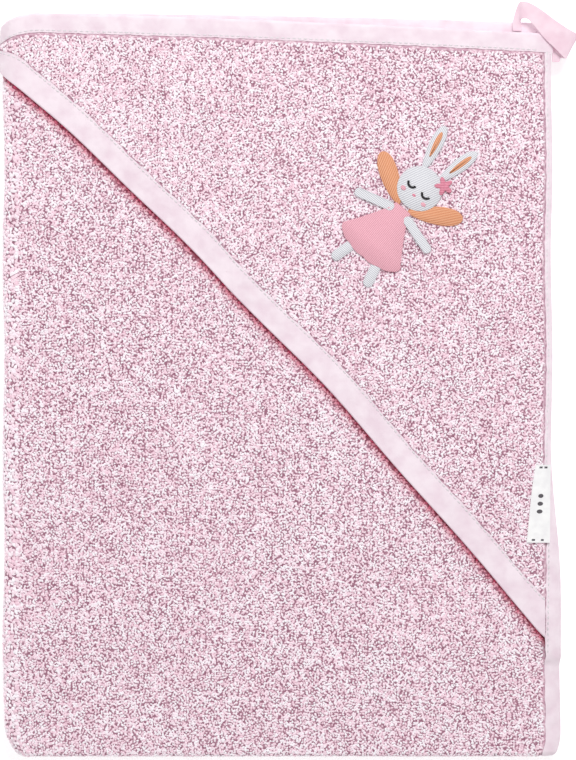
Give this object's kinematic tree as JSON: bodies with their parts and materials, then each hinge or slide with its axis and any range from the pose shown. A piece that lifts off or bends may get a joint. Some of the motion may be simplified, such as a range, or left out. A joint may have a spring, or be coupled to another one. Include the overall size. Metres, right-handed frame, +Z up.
{
  "type": "hooded baby towel",
  "caption": "Square terry baby towel with a corner hood, bound in tape all round and folded flat in half and then in three, with a hanging loop, a folded label and an embroidered rabbit.",
  "frame": {"origin": "middle of the flat underside that the folded towel lies on", "axes": "+Z up out of the table through the folded layers, +Y towards the hood edge with the hanging loop, +X towards the hood corner"},
  "size_m": [0.3136, 0.4065, 0.0235],
  "materials": {
    "terry": "matte",
    "tape": "matte",
    "loop_tape": "matte",
    "sewing_thread": "satin",
    "label": "satin",
    "white_thread": "satin",
    "rose_thread": "satin",
    "deep_rose_thread": "satin",
    "peach_thread": "satin",
    "black_thread": "satin"
  },
  "bodies": {
    "back_leaf": {"terry_back_leaf": "terry", "edge_tape_hood_side_back": "tape", "edge_tape_foot_side_back": "tape", "edge_tape_left": "tape"},
    "middle_leaf": {"terry_middle_leaf": "terry", "hood_panel_tip": "terry", "hood_tape_tip": "tape", "edge_tape_hood_side_middle": "tape", "edge_tape_foot_side_middle": "tape"},
    "front_leaf": {"terry_front_leaf": "terry", "hood_panel": "terry", "hood_tape": "tape", "edge_tape_hood_side_front": "tape", "edge_tape_foot_side_front": "tape", "edge_tape_right": "tape", "hood_tape_stitching": "sewing_thread", "top_edge_stitching": "sewing_thread", "right_edge_stitching": "sewing_thread", "embroidery_wing_left": "peach_thread", "embroidery_wing_right": "peach_thread", "embroidery_foot_left": "white_thread", "embroidery_foot_right": "white_thread", "embroidery_ear_left": "white_thread", "embroidery_ear_right": "white_thread", "embroidery_smock": "rose_thread", "embroidery_head": "white_thread", "embroidery_ear_lining_left": "peach_thread", "embroidery_ear_lining_right": "peach_thread", "embroidery_arm_left": "white_thread", "embroidery_arm_right": "white_thread", "embroidery_eye_left": "black_thread", "embroidery_eye_right": "black_thread", "embroidery_nose": "deep_rose_thread", "embroidery_cheek_left": "rose_thread", "embroidery_cheek_right": "rose_thread", "embroidery_flower": "deep_rose_thread"},
    "label": {"woven_label": "label"},
    "loop": {"hanging_loop": "loop_tape"}
  },
  "joints": [
    {"name": "lower_side_fold", "type": "hinge", "parent": "back_leaf", "child": "middle_leaf", "pos_m": [0.14835, 0, 0.0107], "axis": [0, 1, 0], "range_deg": [0, 145]},
    {"name": "upper_side_fold", "type": "hinge", "parent": "middle_leaf", "child": "front_leaf", "pos_m": [-0.1526, 0, 0.01075], "axis": [0, -1, 0], "range_deg": [0, 170]},
    {"name": "label_seam", "type": "hinge", "parent": "front_leaf", "child": "label", "pos_m": [0.142, -0.0639, 0.02103], "axis": [0, 1, 0], "range_deg": [0, 160]},
    {"name": "loop_seam", "type": "hinge", "parent": "front_leaf", "child": "loop", "pos_m": [0.13683, 0.18482, 0.01822], "axis": [0.8638, -0.5001, -0.0608], "range_deg": [0, 110]}
  ]
}
